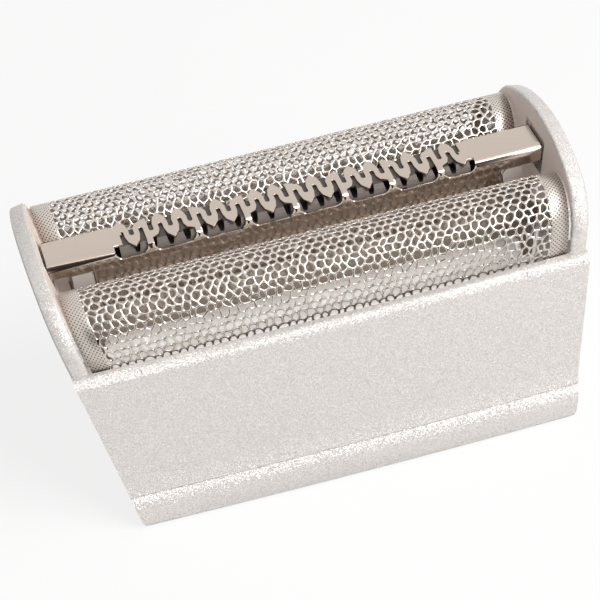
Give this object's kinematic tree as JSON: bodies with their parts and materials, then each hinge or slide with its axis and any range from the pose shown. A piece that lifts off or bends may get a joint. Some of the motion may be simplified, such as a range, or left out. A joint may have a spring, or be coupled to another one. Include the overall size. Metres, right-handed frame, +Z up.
{
  "type": "shaver foil head",
  "caption": "Foil head for an electric shaver: silver frame with leaning arched ends, two arched perforated foils and a floating centre trimmer with a comb guard and sliding inner blade.",
  "frame": {"origin": "middle of the bottom rim, in the plane that sits on the shaver", "axes": "+X along the foils, -Y towards the front panel, +Z up through the foils"},
  "size_m": [0.0502, 0.0312, 0.023],
  "materials": {
    "frame_paint": "silver metallic paint on moulded plastic",
    "foil_nickel": "bright electroformed nickel",
    "clamp_plastic": "moulded grey plastic",
    "guard_steel": "ground and polished stainless sheet",
    "holder_plastic": "moulded grey plastic",
    "blade_steel": "hardened stainless sheet",
    "carrier_plastic": "moulded dark plastic",
    "spring_steel": "drawn spring wire and strip"
  },
  "bodies": {
    "frame": {"frame": "frame_paint", "foil_front": "foil_nickel", "foil_rear": "foil_nickel", "clamp_front_outer": "clamp_plastic", "clamp_front_inner": "clamp_plastic", "clamp_rear_inner": "clamp_plastic", "clamp_rear_outer": "clamp_plastic", "float_spring_left": "spring_steel", "float_spring_right": "spring_steel"},
    "trimmer": {"trimmer_guard": "guard_steel", "trimmer_holder": "holder_plastic", "blade_spring_left": "spring_steel", "blade_spring_right": "spring_steel"},
    "blade": {"trimmer_blade": "blade_steel", "blade_carrier": "carrier_plastic"}
  },
  "joints": [
    {"name": "trimmer_float", "type": "slide", "parent": "frame", "child": "trimmer", "axis": [0, 0, 1], "range_m": [-0.001, 0], "stiffness_N_per_m": 500, "springref_m": 0.001, "deforming": ["float_spring_left", "float_spring_right"]},
    {"name": "blade_stroke", "type": "slide", "parent": "trimmer", "child": "blade", "axis": [1, 0, 0], "range_m": [-0.0008, 0.0008]}
  ]
}
